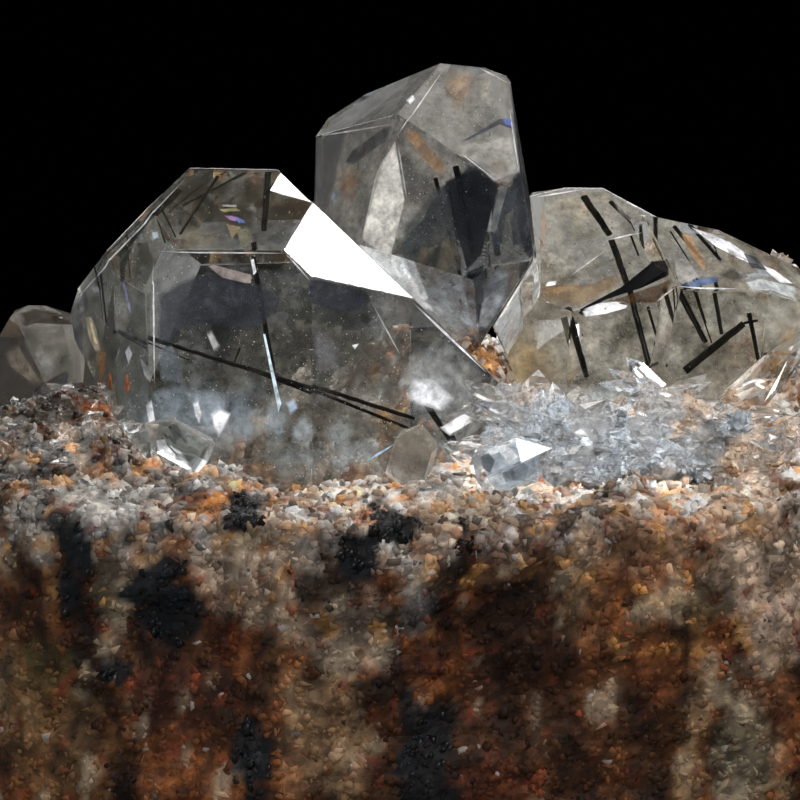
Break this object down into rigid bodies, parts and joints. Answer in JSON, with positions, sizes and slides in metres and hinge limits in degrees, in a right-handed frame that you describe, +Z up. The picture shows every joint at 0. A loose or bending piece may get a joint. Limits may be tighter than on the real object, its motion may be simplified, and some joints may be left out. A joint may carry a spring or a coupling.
{
  "type": "tourmalinated quartz specimen",
  "caption": "Clear quartz crystals with black tourmaline needles sealed inside them, grown on a block of granular rock that is cut flat below.",
  "frame": {"origin": "middle of the flat cut below the rock, on the surface that the specimen stands on", "axes": "+Z up, +X to the right and +Y to the back, seen from the side that shows the crystals"},
  "size_m": [0.0717, 0.0434, 0.055],
  "materials": {
    "granular_rock": "rough granular",
    "clear_quartz": "clear, natural faces",
    "smoky_quartz": "clear, pale smoky brown",
    "druse_quartz": "sparkling, slightly milky",
    "rim_quartz": "clear, natural faces",
    "tourmaline": "glossy black"
  },
  "bodies": {
    "root": {"matrix_rock": "granular_rock", "left_quartz_front_half": "clear_quartz", "left_quartz_back_half": "clear_quartz", "centre_quartz_front_half": "clear_quartz", "centre_quartz_back_half": "clear_quartz", "right_quartz_front_half": "clear_quartz", "right_quartz_back_half": "clear_quartz", "far_left_quartz": "smoky_quartz", "druse_crust": "druse_quartz", "rim_quartz_left": "rim_quartz", "rim_quartz_middle": "rim_quartz", "rim_quartz_right": "rim_quartz", "left_needle_1": "tourmaline", "left_needle_2": "tourmaline", "left_needle_3": "tourmaline", "left_needle_4": "tourmaline", "left_needle_5": "tourmaline", "left_needle_6": "tourmaline", "left_needle_7": "tourmaline", "left_needle_8": "tourmaline", "left_needle_9": "tourmaline", "centre_needle_1": "tourmaline", "centre_needle_2": "tourmaline", "right_needle_1": "tourmaline", "right_needle_2": "tourmaline", "right_needle_3": "tourmaline", "right_needle_4": "tourmaline", "right_needle_5": "tourmaline", "right_needle_6": "tourmaline", "right_needle_7": "tourmaline", "right_needle_8": "tourmaline", "right_needle_9": "tourmaline", "right_needle_10": "tourmaline", "right_needle_11": "tourmaline", "right_needle_12": "tourmaline", "right_needle_13": "tourmaline"}
  },
  "joints": []
}
